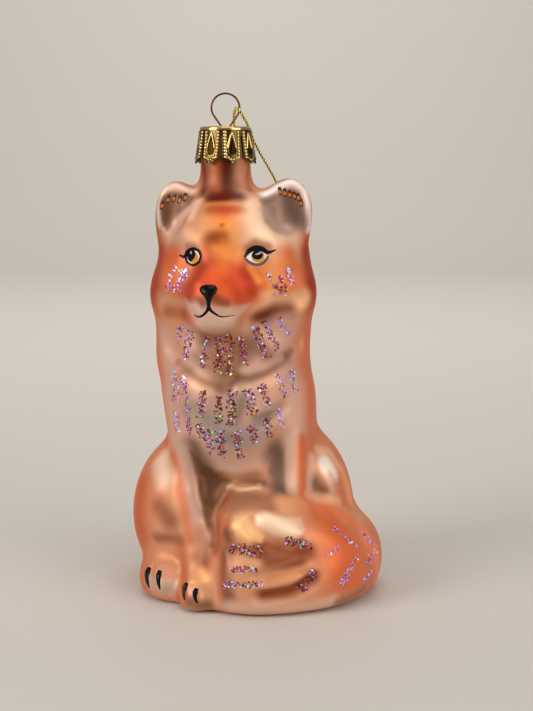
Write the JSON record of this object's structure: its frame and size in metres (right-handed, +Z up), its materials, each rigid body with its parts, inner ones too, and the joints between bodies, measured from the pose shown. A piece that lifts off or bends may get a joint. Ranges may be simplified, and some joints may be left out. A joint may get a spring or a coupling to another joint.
{
  "type": "fox hanging ornament",
  "caption": "Hollow blown-glass sitting fox with a bottle neck, stamped crown cap, sprung wire hanger and doubled cord; hangs by the cord or stands on its flat foot.",
  "frame": {"origin": "on the flat foot, straight below the neck's axis", "axes": "+Z up along the neck, -Y the way the fox's chest faces, +X to the right as seen from the front"},
  "size_m": [0.0664, 0.0567, 0.1294],
  "materials": {
    "sprayed_glass": "silvered inside, matt sprayed outside",
    "cap_sheet": "bright gold-coloured pressed sheet",
    "hanger_wire": "bright gold-coloured spring wire",
    "metallic_cord": "metallic twisted thread"
  },
  "bodies": {
    "glass": {"glass_body": "sprayed_glass"},
    "hanger": {"hanger_wire": "hanger_wire", "hanging_cord": "metallic_cord", "cord_knot": "metallic_cord"},
    "cap": {"crown_cap": "cap_sheet"}
  },
  "joints": [
    {"name": "cap_lift", "type": "slide", "parent": "glass", "child": "hanger", "axis": [0, 0, 1], "range_m": [0, 0.034]},
    {"name": "cap_turn", "type": "hinge", "parent": "hanger", "child": "cap", "pos_m": [0, 0, 0.1205], "axis": [0, 0, 1], "continuous": true}
  ]
}
